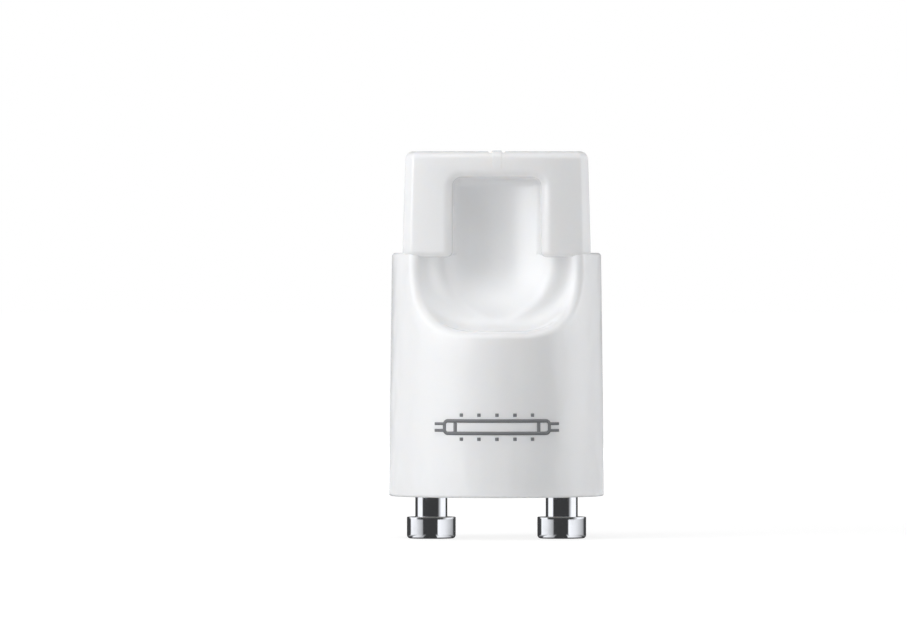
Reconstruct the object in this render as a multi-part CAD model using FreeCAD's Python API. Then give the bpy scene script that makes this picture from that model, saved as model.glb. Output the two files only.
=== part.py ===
import FreeCAD, Part
import math
import os

V = FreeCAD.Vector

# All lengths are in millimetres. The origin is midway between the two pin ends, +Z points up to the grip,
# +X runs from the left pin to the right pin, and the front faces -Y.

# The can is built round its two contact pins.
pin_spacing = 12.7

# Housing: a thimble-shaped moulding with a slight draft, its rim a margin outside the pins' centres.
rim_z = 4.15
rim_margin = 4.13
shoulder_z = 27.8
shoulder_taper = 0.3
top_z = 37.65
wall = 1.3
rim_round = 0.25
shoulder_round = 0.35

# Grip block on top of the body: its sides stand in from the shoulder and its bowed faces further still.
shoulder_ledge = 1.05
grip_draft = 0.29
face_bow_r = 35.0
face_setback = 3.32
grip_edge_round = 0.5
grip_top_round = 0.8

# Thumb groove in each broad face: a ball-nosed channel that leaves a web between front and back.
groove_r = 7.1
web = 6.6

# Slot through which the groove opens in the grip face.
slot_half = 4.3
top_bar_height = 2.5
slot_corner_r = 0.9
slot_edge_round = 0.85
slot_root_round = 1.0

# Shallow pocket below the wings, parallel to the bowed face.
wing_drop = 0.4
pocket_height = 7.2
pocket_step = 0.7
pocket_margin = 1.43
pocket_corner_r = 6.5
pocket_cove = 2.2
crease_round = 1.8
pocket_edge_round = 0.8
wing_edge_round = 0.6

# Gate rib running over the top bar, with a round notch along each side of it on the top.
rib_half = 0.45
rib_height = 0.07
rib_front = 0.05
rib_root = 0.3
notch_r = 0.2
notch_depth = 0.13

# Mouth of the housing and base plate.
mouth_wall = 0.98
seat_clearance = 0.03
plate_inset = 0.4
plate_thickness = 2.05
bead_r = 0.17
key_width = 1.6
key_depth = 0.8
key_clearance = 0.05
plate_chamfer = 0.3

# Contact pins.
pin_head_r = 2.375
pin_head_height = 2.1
pin_head_round = 0.35
pin_stem_r = 1.56
shank_r = 1.3
shank_clearance = 0.02
rivet_r = 1.8
rivet_height = 0.7
pin_bore_r = 0.65
pin_bore_floor = 0.45

# Wiring.
wire_r = 0.25
wire_offset = 0.3
wire_end_depth = 0.3
wire_bend_r = 0.6
solder_r = 1.2
solder_height = 0.7
solder_fill = 1.1
sleeve_wall = 0.28
sleeve_clearance = 0.02
lead_run_height = 2.15

# Glow lamp, standing over the level run of its leads.
lamp_y = 1.2
lamp_r = 3.5
lamp_wall = 0.45
lamp_lift = 0.7
lamp_foot_height = 3.85
lamp_body_height = 5.8
lamp_floor = 1.3
lamp_tip_r = 0.7
lamp_tip_length = 1.3
pinch_half = 2.1
pinch_thickness = 1.8
electrode_half = 1.1
electrode_drop = 2.3
post_drop = 0.1
strip_width = 1.6
strip_thickness = 0.2
strip_weld = 1.4
strip_bend_drop = 1.6
strip_hang = 2.9
strip_gap = 0.25

# Capacitor.
cap_width = 9.0
cap_depth = 3.6
cap_height = 7.8
cap_round = 0.6
cap_y = -4.5
cap_lift = 0.45
cap_lead_half = 2.5
cap_lead_in = 1.0

BIG = 60.0
rim_r = pin_spacing / 2 + rim_margin
shoulder_r = rim_r - shoulder_taper
seat_r = rim_r - mouth_wall
grip_half_low = shoulder_r - shoulder_ledge
grip_half_high = grip_half_low - grip_draft
face_apex = shoulder_r - face_setback
pocket_half = shoulder_r - pocket_margin
wing_z = shoulder_z - wing_drop
scoop_bottom_z = wing_z - pocket_height
slot_top_z = top_z - top_bar_height
plate_bottom_z = rim_z + plate_inset
plate_top_z = plate_bottom_z + plate_thickness
pin_bore_bottom_z = plate_bottom_z + pin_bore_floor
wire_end_z = plate_top_z - wire_end_depth
lead_run_z = plate_top_z + lead_run_height
lamp_bottom_z = lead_run_z + lamp_lift
lamp_cone_z = lamp_bottom_z + lamp_foot_height
lamp_dome_z = lamp_cone_z + lamp_body_height
electrode_top_z = lamp_dome_z - electrode_drop
post_top_z = lamp_cone_z - post_drop
strip_bend_z = lamp_dome_z - strip_bend_drop
strip_tip_z = strip_bend_z - strip_hang
cap_bottom_z = lead_run_z + cap_lift
draft = (rim_r - shoulder_r) / (shoulder_z - rim_z)
groove_y = web / 2 + groove_r
face_y = face_bow_r - face_apex
ball_z = scoop_bottom_z + groove_r


def body_radius(z):
    return rim_r - draft * (z - rim_z)


def grip_half(z):
    share = (z - shoulder_z) / (top_z - shoulder_z)
    return grip_half_low + (grip_half_high - grip_half_low) * share


def samples(edge):
    first, last = edge.ParameterRange
    return [edge.valueAt(first + (last - first) * share) for share in (0.1, 0.5, 0.9)]


def edges_where(shape, test):
    return [e for e in shape.Edges if e.Length > 1e-3 and all(test(p) for p in samples(e))]


def near(a, b, tolerance=2e-3):
    return abs(a - b) < tolerance


def rounded(shape, radius, edges):
    """The shape with these edges rounded, at the largest share of the radius that gives a sound solid."""
    if not edges:
        return shape
    for share in (1.0, 0.8, 0.6, 0.4):
        try:
            result = shape.makeFillet(radius * share, edges)
        except Part.OCCError:
            continue
        if result.isValid() and len(result.Solids) == 1:
            if share < 1.0:
                print("edges rounded at %.2f of %.2f mm" % (radius * share, radius))
            return result.Solids[0]
    print("edges left sharp, wanted %.2f mm" % radius)
    return shape


def mirrored(shape):
    """The front piece's counterpart at the back."""
    return shape.mirror(V(0, 0, 0), V(0, 1, 0))


def both_sides(shape):
    return shape.fuse(mirrored(shape))


def box(x0, x1, y0, y1, z0, z1):
    return Part.makeBox(x1 - x0, y1 - y0, z1 - z0, V(x0, y0, z0))


def revolved(profile, x, y):
    """A solid turned from a closed profile of (radius, height) lines and arcs about the axis at x, y."""
    face = Part.Face(Part.Wire(profile))
    solid = face.revolve(V(0, 0, 0), V(0, 0, 1), 360)
    solid.translate(V(x, y, 0))
    return solid


def line(a, b):
    return Part.makeLine(V(a[0], 0, a[1]), V(b[0], 0, b[1]))


def arc(a, m, b):
    return Part.Arc(V(a[0], 0, a[1]), V(m[0], 0, m[1]), V(b[0], 0, b[1])).toShape()


def frustum(grow, z0, z1):
    return Part.makeCone(body_radius(z0) + grow, body_radius(z1) + grow, z1 - z0, V(0, 0, z0))


def rectangle(half_x, half_y, z):
    corners = [(-half_x, -half_y), (half_x, -half_y), (half_x, half_y), (-half_x, half_y), (-half_x, -half_y)]
    return Part.makePolygon([V(x, y, z) for x, y in corners])


def grip(grow, z0, z1):
    """The grip block: the body's cone cut to two drafted sides and two bowed faces."""
    sides = Part.makeLoft(
        [rectangle(grip_half(z0) + grow, BIG, z0), rectangle(grip_half(z1) + grow, BIG, z1)], True, True
    )
    front = Part.makeCylinder(face_bow_r + grow, z1 - z0, V(0, face_y, z0))
    back = Part.makeCylinder(face_bow_r + grow, z1 - z0, V(0, -face_y, z0))
    return frustum(grow, z0, z1).common(sides).common(front).common(back)


def on_bow(point, radius):
    return near(math.hypot(point.x, abs(point.y) + face_y), radius)


def grip_rounded(grow, z0):
    top = top_z + grow
    block = grip(grow, z0, top)
    upright = [e for e in block.Edges if e.BoundBox.ZLength > (top - z0) * 0.9]
    corners = [e for e in upright if on_bow(samples(e)[1], face_bow_r + grow)]
    block = rounded(block, grip_edge_round + grow, corners)
    block = rounded(block, grip_edge_round, [e for e in block.Edges if side_corner(e, z0, top, grow)])
    rim = edges_where(block, lambda p: near(p.z, top))
    return rounded(block, grip_top_round + grow, rim)


def side_corner(edge, z0, top, grow):
    """True for the upright edges between a drafted side and the cone."""
    if edge.BoundBox.ZLength < (top - z0) * 0.9:
        return False
    middle = samples(edge)[1]
    on_side = near(abs(middle.x), grip_half(middle.z) + grow)
    return on_side and near(math.hypot(middle.x, middle.y), body_radius(middle.z) + grow)


def groove(grow, z1):
    """Ball-nosed cutter for the front thumb groove."""
    ball = Part.makeSphere(groove_r + grow, V(0, -groove_y, ball_z))
    channel = Part.makeCylinder(groove_r + grow, z1 - ball_z, V(0, -groove_y, ball_z))
    return ball.fuse(channel).removeSplitter()


def on_groove(point):
    z = min(point.z, ball_z)
    return near(math.sqrt(point.x**2 + (point.y + groove_y) ** 2 + (z - ball_z) ** 2), groove_r)


def pocket(grow, z1):
    """Cutter for the shallow pocket: a round-bottomed outline whose floor follows the bowed face."""
    half = pocket_half + grow
    low = scoop_bottom_z - grow
    r = pocket_corner_r + grow
    y0 = -(shoulder_r + 4)
    q = r * math.sqrt(0.5)
    outline = [
        Part.LineSegment(V(half, y0, z1), V(-half, y0, z1)),
        Part.LineSegment(V(-half, y0, z1), V(-half, y0, low + r)),
        Part.Arc(V(-half, y0, low + r), V(-half + r - q, y0, low + r - q), V(-half + r, y0, low)),
        Part.LineSegment(V(-half + r, y0, low), V(half - r, y0, low)),
        Part.Arc(V(half - r, y0, low), V(half - r + q, y0, low + r - q), V(half, y0, low + r)),
        Part.LineSegment(V(half, y0, low + r), V(half, y0, z1)),
    ]
    face = Part.Face(Part.Wire([part.toShape() for part in outline]))
    floor_r = face_bow_r - pocket_step - grow
    block = face.extrude(V(0, -y0, 0))
    block = block.cut(Part.makeCylinder(floor_r, BIG, V(0, face_y, low - 5)))
    block = min(block.Solids, key=lambda solid: solid.CenterOfMass.y)
    floor_edges = edges_where(block, lambda p: on_bow(p, floor_r) and p.z < z1 - 0.01)
    return rounded(block, pocket_cove + grow, floor_edges)


def scoop(grow, z1):
    """Groove and pocket together up to the height z1."""
    high = z1 + 8
    both = groove(grow, high).fuse(pocket(grow, high))
    return both.common(box(-BIG, BIG, -BIG, 0, 0, z1))


def slot(grow, z0):
    """The groove inside the grip face, between the slot's walls."""
    opening = box(-slot_half - grow, slot_half + grow, -BIG, 0, z0, slot_top_z + grow)
    high = slot_top_z + grow
    corners = edges_where(opening, lambda p: near(abs(p.x), slot_half + grow) and near(p.z, high))
    opening = rounded(opening, slot_corner_r + grow, corners)
    return groove(grow, top_z + 5).common(opening)


def on_body(point):
    return near(math.hypot(point.x, point.y), body_radius(point.z))


def make_body():
    """The tapered body with the two scoops let into it, up to the shoulder."""
    body = frustum(0, rim_z, shoulder_z)
    body = rounded(body, rim_round, edges_where(body, lambda p: near(p.z, rim_z)))
    high = shoulder_z + 1
    front = scoop(0, high)
    crease = edges_where(
        front, lambda p: on_groove(p) and web / 2 + 0.7 < -p.y < groove_y - 1.5 and p.z < high - 1e-3
    )
    front = rounded(front, crease_round, crease)
    body = body.cut(front).cut(mirrored(front))
    lip = edges_where(body, lambda p: on_body(p) and scoop_bottom_z - 0.5 < p.z < shoulder_z - 0.01)
    body = rounded(body, pocket_edge_round, lip)
    return rounded(body, shoulder_round, edges_where(body, lambda p: on_body(p) and near(p.z, shoulder_z)))


def make_grip():
    """The grip block with a slot in each face, its lips and lower edges rounded."""
    block = grip_rounded(0, wing_z)
    opening = slot(0, wing_z - 2)
    at_corner = slot_top_z - slot_corner_r - 0.01
    root = edges_where(opening, lambda p: on_groove(p) and (near(abs(p.x), slot_half) or p.z > at_corner))
    root = [e for e in root if e.BoundBox.YMax < -1]
    opening = rounded(opening, slot_root_round, root)
    block = block.cut(opening).cut(mirrored(opening))
    low, high = wing_z + 0.01, slot_top_z + 0.01
    lip = edges_where(block, lambda p: on_bow(p, face_bow_r) and abs(p.x) < slot_half + 0.01 and low < p.z < high)
    block = rounded(block, slot_edge_round, lip)
    outside = slot_half - 0.5
    lower = edges_where(block, lambda p: near(p.z, wing_z) and on_bow(p, face_bow_r) and abs(p.x) > outside)
    # The rounding runs on round the slot's foot and over the web, where the groove has to go on straight.
    root_x = (slot_half - slot_root_round) * groove_r / (groove_r - slot_root_round)
    web_foot = block.common(box(-root_x, root_x, -BIG, BIG, wing_z, wing_z + 2 * wing_edge_round))
    return rounded(block, wing_edge_round, lower).fuse(web_foot)


def top_bar(out, up, half_width):
    """Middle of the top bar, its faces grown outwards and its top upwards, with the long edges rounded."""
    half = face_apex + out
    bar = box(-half_width, half_width, -half, half, slot_top_z, top_z + up)
    edges = edges_where(bar, lambda p: near(abs(p.y), half) and near(p.z, top_z + up))
    return rounded(bar, grip_top_round, edges)


def add_rib(outer):
    """The gate rib over the top bar and the two notches beside it."""
    for side in (-1, 1):
        start = V(side * (rib_half + notch_r), -BIG / 2, top_z + notch_r - notch_depth)
        outer = outer.cut(Part.makeCylinder(notch_r, BIG, start, V(0, 1, 0)))
    rib = top_bar(rib_front, rib_height, rib_half)
    crest = edges_where(rib, lambda p: near(abs(p.x), rib_half) and p.z > slot_top_z + 0.1)
    rib = rounded(rib, rib_front * 0.9, crest)
    rib = rib.cut(top_bar(-rib_root, -rib_root, 2 * rib_half))
    return outer.fuse(rib.common(box(-BIG, BIG, -BIG, BIG, slot_top_z + slot_edge_round, BIG)))


def make_cavity():
    """Room inside the housing, one wall thickness away from the outside."""
    ceiling = shoulder_z - wall
    room = frustum(-wall, rim_z - 1, ceiling).fuse(grip(-wall, ceiling, top_z - wall))
    mouth = Part.makeCylinder(seat_r, plate_top_z - rim_z + 1, V(0, 0, rim_z - 1))
    room = room.fuse(mouth)
    room = room.cut(both_sides(scoop(wall, wing_z + wall)))
    return room.cut(both_sides(slot(wall, wing_z)))


def make_housing():
    outside = make_body().fuse(make_grip()).removeSplitter()
    housing = add_rib(outside).cut(make_cavity())
    bead = Part.makeTorus(seat_r, bead_r, V(0, 0, plate_bottom_z - bead_r - 0.02))
    housing = housing.fuse(bead.cut(Part.makeCylinder(BIG, BIG, V(0, 0, plate_bottom_z))))
    for side in (-1, 1):
        inside = seat_r - key_depth
        key = box(-key_width / 2, key_width / 2, inside, seat_r + 0.3, plate_bottom_z + 0.6, plate_top_z)
        housing = housing.fuse(key if side > 0 else mirrored(key))
    return housing.removeSplitter()


def make_base_plate():
    r = seat_r - seat_clearance
    plate = Part.makeCylinder(r, plate_top_z - plate_bottom_z, V(0, 0, plate_bottom_z))
    plate = plate.makeChamfer(plate_chamfer, edges_where(plate, lambda p: near(p.z, plate_bottom_z)))
    half = key_width / 2 + key_clearance
    inside = seat_r - key_depth - key_clearance
    notch = box(-half, half, inside, BIG, 0, BIG)
    plate = plate.cut(both_sides(notch))
    for x in (-pin_spacing / 2, pin_spacing / 2):
        plate = plate.cut(Part.makeCylinder(shank_r + shank_clearance, BIG, V(x, 0, 0)))
    return plate


def make_pin(x):
    """Headed pin with a thinner shank riveted over above the base plate."""
    e = pin_head_round
    q = e * (1 - math.sqrt(0.5))
    top = plate_top_z + rivet_height
    f = rivet_height - 0.15
    g = f * (1 - math.sqrt(0.5))
    return revolved(
        [
            line((0, 0), (pin_head_r - e, 0)),
            arc((pin_head_r - e, 0), (pin_head_r - q, q), (pin_head_r, e)),
            line((pin_head_r, e), (pin_head_r, pin_head_height - 0.15)),
            line((pin_head_r, pin_head_height - 0.15), (pin_head_r - 0.15, pin_head_height)),
            line((pin_head_r - 0.15, pin_head_height), (pin_stem_r, pin_head_height)),
            line((pin_stem_r, pin_head_height), (pin_stem_r, plate_bottom_z)),
            line((pin_stem_r, plate_bottom_z), (shank_r, plate_bottom_z)),
            line((shank_r, plate_bottom_z), (shank_r, plate_top_z)),
            line((shank_r, plate_top_z), (rivet_r, plate_top_z)),
            line((rivet_r, plate_top_z), (rivet_r, top - f)),
            arc((rivet_r, top - f), (rivet_r - g, top - g), (rivet_r - f, top)),
            line((rivet_r - f, top), (pin_bore_r, top)),
            line((pin_bore_r, top), (pin_bore_r, pin_bore_bottom_z)),
            line((pin_bore_r, pin_bore_bottom_z), (0, pin_bore_bottom_z)),
            line((0, pin_bore_bottom_z), (0, 0)),
        ],
        x,
        0,
    )


def unit(v):
    return v.multiply(1.0 / v.Length)


def bent_path(points, bend):
    """A wire path through the points with a tangent bend at each corner."""
    edges = []
    start = points[0]
    for before, corner, after in zip(points, points[1:], points[2:]):
        u = unit(corner - before)
        v = unit(after - corner)
        turn = u.getAngle(v)
        reach = bend * math.tan(turn / 2)
        a = corner - V(u).multiply(reach)
        b = corner + V(v).multiply(reach)
        inward = unit(V(v) - V(u).multiply(u.dot(v)))
        centre = a + V(inward).multiply(bend)
        middle = centre + unit(corner - centre).multiply(bend)
        edges.append(Part.makeLine(start, a))
        edges.append(Part.Arc(a, middle, b).toShape())
        start = b
    edges.append(Part.makeLine(start, points[-1]))
    return Part.Wire(edges)


def bent_wire(points, radius, bend):
    path = bent_path(points, bend)
    direction = points[1] - points[0]
    profile = Part.Wire([Part.makeCircle(radius, points[0], direction)])
    return path.makePipeShell([profile], True, False)


def make_electrode(side):
    """Lamp lead from the pin's bore to the pinch and on up inside the lamp."""
    x = side * pin_spacing / 2
    top = electrode_top_z if side < 0 else post_top_z
    points = [
        V(x, wire_offset, wire_end_z),
        V(x, wire_offset, lead_run_z),
        V(side * electrode_half, lamp_y, lead_run_z),
        V(side * electrode_half, lamp_y, top),
    ]
    lead = bent_wire(points, wire_r, wire_bend_r)
    if side > 0:
        flat = electrode_half + wire_r / 2
        lead = lead.cut(box(flat, BIG, 0, BIG, post_top_z - strip_weld, BIG))
    return lead


def make_strip():
    """Bimetal strip: welded to the post's flat, bent over and down to hang beside the fixed electrode."""
    outer = electrode_half + wire_r / 2
    inner_tip = -electrode_half + wire_r + strip_gap
    r = (outer - inner_tip) / 2
    x = outer + strip_thickness / 2
    tip = x - 2 * r
    z = post_top_z - strip_weld
    bend = Part.Arc(V(x, lamp_y, strip_bend_z), V(x - r, lamp_y, strip_bend_z + r), V(tip, lamp_y, strip_bend_z))
    path = Part.Wire(
        [
            Part.makeLine(V(x, lamp_y, z), V(x, lamp_y, strip_bend_z)),
            bend.toShape(),
            Part.makeLine(V(tip, lamp_y, strip_bend_z), V(tip, lamp_y, strip_tip_z)),
        ]
    )
    t = strip_thickness / 2
    w = strip_width / 2
    corners = [(x - t, -w), (x + t, -w), (x + t, w), (x - t, w), (x - t, -w)]
    profile = Part.makePolygon([V(a, lamp_y + b, z) for a, b in corners])
    return path.makePipeShell([profile], True, True)


def make_lamp(leads):
    """Glass envelope with a dome, an exhaust tip and a pressed foot, sealed round the two leads."""
    r = lamp_r
    q = math.sqrt(0.5)
    inner = r - lamp_wall
    floor_z = lamp_cone_z + lamp_floor - lamp_wall
    tip_z = lamp_dome_z + math.sqrt(r**2 - lamp_tip_r**2)
    end_z = tip_z + lamp_tip_length
    outside = revolved(
        [
            line((0, lamp_cone_z - r), (0, end_z)),
            arc((0, end_z), (lamp_tip_r * q, end_z - lamp_tip_r * (1 - q)), (lamp_tip_r, end_z - lamp_tip_r)),
            line((lamp_tip_r, end_z - lamp_tip_r), (lamp_tip_r, tip_z)),
            arc((lamp_tip_r, tip_z), (r * q, lamp_dome_z + r * q), (r, lamp_dome_z)),
            line((r, lamp_dome_z), (r, lamp_cone_z)),
            arc((r, lamp_cone_z), (r * q, lamp_cone_z - r * q), (0, lamp_cone_z - r)),
        ],
        0,
        lamp_y,
    )
    inside = revolved(
        [
            line((0, floor_z - inner), (0, lamp_dome_z + inner)),
            arc((0, lamp_dome_z + inner), (inner * q, lamp_dome_z + inner * q), (inner, lamp_dome_z)),
            line((inner, lamp_dome_z), (inner, floor_z)),
            arc((inner, floor_z), (inner * q, floor_z - inner * q), (0, floor_z - inner)),
        ],
        0,
        lamp_y,
    )
    half = pinch_thickness / 2
    foot = box(-pinch_half, pinch_half, lamp_y - half, lamp_y + half, lamp_bottom_z, lamp_cone_z - lamp_wall)
    upright = [e for e in foot.Edges if e.BoundBox.ZLength > 1]
    foot = rounded(foot, half * 0.7, upright)
    glass = outside.fuse(foot).cut(inside)
    for lead in leads:
        glass = glass.cut(lead)
    return glass.removeSplitter()


def make_sleeve(side):
    """Insulating tube on the level run of a lamp lead."""
    a = V(side * pin_spacing / 2, wire_offset, lead_run_z)
    b = V(side * electrode_half, lamp_y, lead_run_z)
    along = unit(b - a)
    reach = wire_bend_r + 0.1
    start = a + V(along).multiply(reach)
    length = (b - a).Length - 2 * reach
    bore = wire_r + sleeve_clearance
    tube = Part.makeCylinder(bore + sleeve_wall, length, start, along)
    return tube.cut(Part.makeCylinder(bore, length, start, along))


def make_capacitor(leads):
    w = cap_width / 2
    d = cap_depth / 2
    case = box(-w, w, cap_y - d, cap_y + d, cap_bottom_z, cap_bottom_z + cap_height)
    case = rounded(case, cap_round, case.Edges)
    for lead in leads:
        case = case.cut(lead)
    return case


def make_cap_lead(side):
    x = side * pin_spacing / 2
    points = [
        V(x, -wire_offset, wire_end_z),
        V(x, -wire_offset, lead_run_z - 0.1),
        V(side * cap_lead_half, cap_y, lead_run_z - 0.1),
        V(side * cap_lead_half, cap_y, cap_bottom_z + cap_lead_in),
    ]
    return bent_wire(points, wire_r, wire_bend_r / 2)


def make_solder(x, leads):
    """Solder that fills the top of the pin's bore and stands over it as a bead."""
    top = plate_top_z + rivet_height
    rise = solder_height
    r = (solder_r**2 + rise**2) / (2 * rise)
    middle = math.asin(solder_r / r) / 2
    point = (r * math.sin(middle), top + rise - r + r * math.cos(middle))
    bead = revolved(
        [
            line((0, top - solder_fill), (0, top + rise)),
            arc((0, top + rise), point, (solder_r, top)),
            line((solder_r, top), (pin_bore_r, top)),
            line((pin_bore_r, top), (pin_bore_r, top - solder_fill)),
            line((pin_bore_r, top - solder_fill), (0, top - solder_fill)),
        ],
        x,
        0,
    )
    for lead in leads:
        bead = bead.cut(lead)
    return bead


def save(name, shape):
    """One closed solid per file."""
    solid = max(shape.Solids, key=lambda s: s.Volume)
    if len(shape.Solids) != 1 or not solid.isValid():
        print("look at", name, "solids", len(shape.Solids), "valid", solid.isValid())
    solid.exportStep(os.path.join("parts", name + ".step"))
    size = solid.BoundBox
    print(name, "%.2f x %.2f x %.2f mm, %.1f mm3" % (size.XLength, size.YLength, size.ZLength, solid.Volume))


os.makedirs("parts", exist_ok=True)

electrode_left = make_electrode(-1)
electrode_right = make_electrode(1)
cap_lead_left = make_cap_lead(-1)
cap_lead_right = make_cap_lead(1)

save("housing", make_housing())
save("base_plate", make_base_plate())
save("contact_pin_left", make_pin(-pin_spacing / 2))
save("contact_pin_right", make_pin(pin_spacing / 2))
save("glow_lamp_glass", make_lamp([electrode_left, electrode_right]))
save("fixed_electrode", electrode_left)
save("bimetal_post", electrode_right)
save("bimetal_strip", make_strip())
save("lead_sleeve_left", make_sleeve(-1))
save("lead_sleeve_right", make_sleeve(1))
save("capacitor", make_capacitor([cap_lead_left, cap_lead_right]))
save("capacitor_lead_left", cap_lead_left)
save("capacitor_lead_right", cap_lead_right)
save("solder_left", make_solder(-pin_spacing / 2, [electrode_left, cap_lead_left]))
save("solder_right", make_solder(pin_spacing / 2, [electrode_right, cap_lead_right]))
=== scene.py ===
# %% [markdown]
# # A starter for a fluorescent lamp
#
# The real object is a white plastic can with a scooped grip on top and two headed contact pins below. Inside it, a
# small glow lamp and a capacitor are wired to the pins. The solids of all these pieces come from the CAD model, in
# metres, and stay where they are. This file dresses them: it gives the can and the small parts smooth skins, turns
# the pins on a lathe of its own, prints a tube sign on the can, and lights the lot as a catalogue picture would.
#
# The first cell loads the CAD pieces.

import math

import bmesh
import bpy
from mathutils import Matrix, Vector


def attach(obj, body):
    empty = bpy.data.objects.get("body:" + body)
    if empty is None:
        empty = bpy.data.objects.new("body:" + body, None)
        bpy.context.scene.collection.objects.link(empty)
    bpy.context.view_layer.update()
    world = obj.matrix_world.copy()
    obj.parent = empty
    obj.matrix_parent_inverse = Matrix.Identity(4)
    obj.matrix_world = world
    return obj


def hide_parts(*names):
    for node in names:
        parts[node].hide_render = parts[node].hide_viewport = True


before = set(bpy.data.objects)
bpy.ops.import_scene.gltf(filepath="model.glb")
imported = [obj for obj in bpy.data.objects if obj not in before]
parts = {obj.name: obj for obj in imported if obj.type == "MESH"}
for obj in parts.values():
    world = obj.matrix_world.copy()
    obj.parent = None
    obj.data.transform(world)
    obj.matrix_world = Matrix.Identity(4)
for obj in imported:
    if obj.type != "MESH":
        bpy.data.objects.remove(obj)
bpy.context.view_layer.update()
print("CAD pieces:", ", ".join(sorted(parts)))

# %% [markdown]
# ## Sizes
#
# A few sizes are used again here, because this file can't read them from the CAD source: the pins' profile, the
# slope of the can's side, and where the sign is printed. They are written in metres through one unit, so that the
# numbers below read as millimetres. The can's radius falls by 0.3 mm over the 23.65 mm from its rim to its shoulder.

# %% Sizes in millimetres
MM = 0.001
pin_x = 6.35 * MM
head_r = 2.375 * MM
head_height = 2.1 * MM
stem_r = 1.56 * MM
shank_r = 1.3 * MM
plate_low = 4.55 * MM
plate_high = 6.6 * MM
rivet_r = 1.8 * MM
rivet_top = 7.3 * MM
bore_r = 0.65 * MM
bore_floor = 5.0 * MM
rim_r = 10.48 * MM
rim_z = 4.15 * MM
side_slope = 0.3 / 23.65
sign_z = 11.0 * MM
print("can radius at the sign: %.3f mm" % ((rim_r - side_slope * (sign_z - rim_z)) / MM))

# %% [markdown]
# ## Building a node tree
#
# Every finish below is a small tree of shader nodes. A few helpers keep the trees readable: they set the values of a
# node, add a node, join outputs to inputs, set the nodes out in columns for whoever opens the tree, and start a
# material.


# %% Helpers for node trees
def put(node, **values):
    """Each value goes to the node's input of that name, or else to the node's own setting."""
    for name, value in values.items():
        entry = name.replace("_", " ").title()
        if entry in node.inputs:
            node.inputs[entry].default_value = value
        else:
            setattr(node, name, value)
    return node


def add(tree, kind, **values):
    """A new node of this kind with its values."""
    return put(tree.nodes.new(kind), **values)


def join(tree, *pairs):
    """Joins (node, output) to (node, input), two by two."""
    for (source, output), (target, entry) in zip(pairs[::2], pairs[1::2]):
        tree.links.new(source.outputs[output], target.inputs[entry])


def arrange(tree):
    """Sets the nodes out in columns of three, in the order in which they were made."""
    for count, node in enumerate(tree.nodes):
        node.location = (220 * (count // 3), -260 * (count % 3))


def new_material(name):
    """A new material and its node tree."""
    material = bpy.data.materials.new(name)
    material.use_nodes = True
    return material, material.node_tree


# %% [markdown]
# ## A moulded surface
#
# Plastic that comes out of a steel mould copies the steel: a fine even grain from the polishing, which you feel more
# than see, and over it slow changes of tone where the melt flowed. Both are noise, at two very different scales, so
# one node group can serve the can, the base plate, the sleeves and the dipped capacitor. It gives a tone mask, which
# goes from fine grain to slow streaks as its Streaks input says, a sheen mask from the streaks alone, and a normal
# for the grain. Each finish decides what to do with them.


# %% Node group: moulded surface
def make_moulded_group():
    group = bpy.data.node_groups.new("moulded_surface", "ShaderNodeTree")
    face = group.interface
    face.new_socket(name="Vector", in_out="INPUT", socket_type="NodeSocketVector")
    sizes = (("Grain Scale", 5200.0), ("Grain Depth", 0.000004), ("Flow Scale", 90.0), ("Streaks", 0.5))
    for name, value in sizes:
        face.new_socket(name=name, in_out="INPUT", socket_type="NodeSocketFloat").default_value = value
    face.new_socket(name="Tone", in_out="OUTPUT", socket_type="NodeSocketFloat")
    face.new_socket(name="Sheen", in_out="OUTPUT", socket_type="NodeSocketFloat")
    face.new_socket(name="Normal", in_out="OUTPUT", socket_type="NodeSocketVector")
    come = add(group, "NodeGroupInput")
    grain = add(group, "ShaderNodeTexNoise", detail=3.0, roughness=0.6)
    flow = add(group, "ShaderNodeTexNoise", detail=1.0)
    spread = add(group, "ShaderNodeMapRange", from_min=0.15, from_max=0.85, interpolation_type="SMOOTHSTEP")
    tone = add(group, "ShaderNodeMix", data_type="FLOAT")
    bump = add(group, "ShaderNodeBump", strength=0.35)
    leave = add(group, "NodeGroupOutput")
    join(group, (grain, "Fac"), (tone, "A"), (spread, "Result"), (tone, "B"))
    join(group, (come, "Streaks"), (tone, "Factor"))
    join(group, (tone, "Result"), (leave, "Tone"), (spread, "Result"), (leave, "Sheen"))
    join(group, (come, "Vector"), (grain, "Vector"), (come, "Grain Scale"), (grain, "Scale"))
    join(group, (come, "Vector"), (flow, "Vector"), (come, "Flow Scale"), (flow, "Scale"))
    join(group, (flow, "Fac"), (spread, "Value"))
    join(group, (grain, "Fac"), (bump, "Height"), (come, "Grain Depth"), (bump, "Distance"))
    join(group, (bump, "Normal"), (leave, "Normal"))
    arrange(group)
    return group


moulded = make_moulded_group()
print("group", moulded.name, "with", len(moulded.nodes), "nodes")

# %% [markdown]
# ## A worked metal surface
#
# Metal keeps the marks of how it was made: rings from the lathe on a turned pin, lines along a drawn wire. Both are
# a noise that is stretched until it runs in one direction, so the group takes a stretched vector. A broad noise
# beside it stands for handling: spots where the polish is a little duller.


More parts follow.
